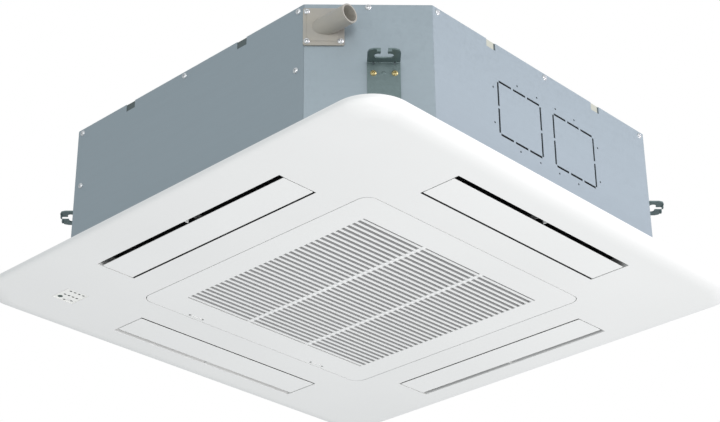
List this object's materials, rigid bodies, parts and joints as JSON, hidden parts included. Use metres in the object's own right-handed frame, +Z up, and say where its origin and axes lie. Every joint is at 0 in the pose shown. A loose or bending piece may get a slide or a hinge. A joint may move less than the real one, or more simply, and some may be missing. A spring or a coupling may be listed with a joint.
{
  "type": "ceiling cassette air conditioner",
  "caption": "Four-way ceiling cassette air conditioner: steel casing, drain socket, hanger brackets, turbo fan, and a white panel with slatted intake grille and swinging vanes.",
  "frame": {"origin": "centre of the decoration panel's flat underside", "axes": "+Z up towards the ceiling slab, -Y towards the side with the two top-edge windows and plain sheet, +X towards the side with the knock-outs and the drain pipe"},
  "size_m": [0.95, 0.95, 0.274],
  "materials": {
    "white_plastic": "satin, lightly textured moulding",
    "vane_plastic": "smooth satin",
    "grey_plastic": "matt",
    "black_plastic": "matt",
    "milky_plastic": "translucent, smooth",
    "foam": "closed-cell foam, matt",
    "polystyrene": "moulded foam beads",
    "galvanised_steel": "galvanised sheet, dull",
    "bracket_steel": "zinc plated, greenish grey",
    "steel": "bright",
    "aluminium_fins": "stacked fins",
    "copper": "bare copper tube",
    "brass": "machined",
    "rubber": "matt",
    "circuit_board": "green board",
    "filter_net": "fine woven net"
  },
  "bodies": {
    "casing": {"panel": "white_plastic", "panel_seal": "foam", "vane_motor_front": "grey_plastic", "vane_motor_right": "grey_plastic", "vane_motor_back": "grey_plastic", "vane_motor_left": "grey_plastic", "display_cover": "white_plastic", "display_board": "circuit_board", "casing_front": "galvanised_steel", "casing_back": "galvanised_steel", "casing_right": "galvanised_steel", "casing_left": "galvanised_steel", "top_plate": "galvanised_steel", "casing_liner": "foam", "top_liner": "foam", "drain_socket": "milky_plastic", "pump_housing": "milky_plastic", "pump_motor": "black_plastic", "pump_bracket": "bracket_steel", "float_stem": "milky_plastic", "drain_hose": "grey_plastic", "drain_pan": "polystyrene", "coil_fins": "aluminium_fins", "coil_end_left": "steel", "coil_end_back": "steel", "pipe_plate": "galvanised_steel", "gas_pipe": "copper", "liquid_pipe": "copper", "gas_flare_nut": "brass", "liquid_flare_nut": "brass", "bell_mouth": "white_plastic", "fan_motor": "steel", "motor_cushion": "rubber", "control_box": "galvanised_steel", "control_box_cover": "galvanised_steel", "circuit_board": "circuit_board", "terminal_block": "black_plastic", "hanger_bracket_near": "bracket_steel", "hanger_bracket_right": "bracket_steel", "hanger_bracket_far": "bracket_steel", "hanger_bracket_left": "bracket_steel", "panel_bolt_1": "steel", "panel_bolt_2": "steel", "panel_bolt_3": "steel", "panel_bolt_4": "steel"},
    "fan": {"fan_rotor": "grey_plastic", "motor_shaft": "steel", "fan_nut": "steel"},
    "vane_front": {"vane_front": "vane_plastic"},
    "vane_right": {"vane_right": "vane_plastic"},
    "vane_back": {"vane_back": "vane_plastic"},
    "vane_left": {"vane_left": "vane_plastic"},
    "grille": {"grille": "white_plastic", "filter_frame": "grey_plastic", "filter_net": "filter_net"},
    "latch_back": {"latch_back": "white_plastic"},
    "latch_front": {"latch_front": "white_plastic"},
    "pump_rotor": {"pump_impeller": "black_plastic"},
    "float": {"float": "white_plastic"},
    "button": {"control_button": "white_plastic"}
  },
  "joints": [
    {"name": "fan_spin", "type": "hinge", "parent": "casing", "child": "fan", "pos_m": [0, 0, 0.2], "axis": [0, 0, 1], "continuous": true},
    {"name": "vane_front_swing", "type": "hinge", "parent": "casing", "child": "vane_front", "pos_m": [0, -0.346, 0.01], "axis": [1, 0, 0], "range_deg": [0, 50]},
    {"name": "vane_right_swing", "type": "hinge", "parent": "casing", "child": "vane_right", "pos_m": [0.346, 0, 0.01], "axis": [0, 1, 0], "range_deg": [0, 50]},
    {"name": "vane_back_swing", "type": "hinge", "parent": "casing", "child": "vane_back", "pos_m": [0, 0.346, 0.01], "axis": [-1, 0, 0], "range_deg": [0, 50]},
    {"name": "vane_left_swing", "type": "hinge", "parent": "casing", "child": "vane_left", "pos_m": [-0.346, 0, 0.01], "axis": [0, -1, 0], "range_deg": [0, 50]},
    {"name": "grille_hinge", "type": "hinge", "parent": "casing", "child": "grille", "pos_m": [0.247, 0, 0.0055], "axis": [0, -1, 0], "range_deg": [0, 85]},
    {"name": "latch_back_slide", "type": "slide", "parent": "grille", "child": "latch_back", "axis": [0, 1, 0], "range_m": [0, 0.004]},
    {"name": "latch_front_slide", "type": "slide", "parent": "grille", "child": "latch_front", "axis": [0, -1, 0], "range_m": [0, 0.004]},
    {"name": "pump_spin", "type": "hinge", "parent": "casing", "child": "pump_rotor", "pos_m": [0.31113, -0.31113, 0.08], "axis": [0, 0, 1], "continuous": true},
    {"name": "float_lift", "type": "slide", "parent": "casing", "child": "float", "axis": [0, 0, 1], "range_m": [0, 0.015]},
    {"name": "button_press", "type": "slide", "parent": "casing", "child": "button", "axis": [0, 0, 1], "range_m": [0, 0.001], "stiffness_N_per_m": 200, "springref_m": -0.0005}
  ]
}
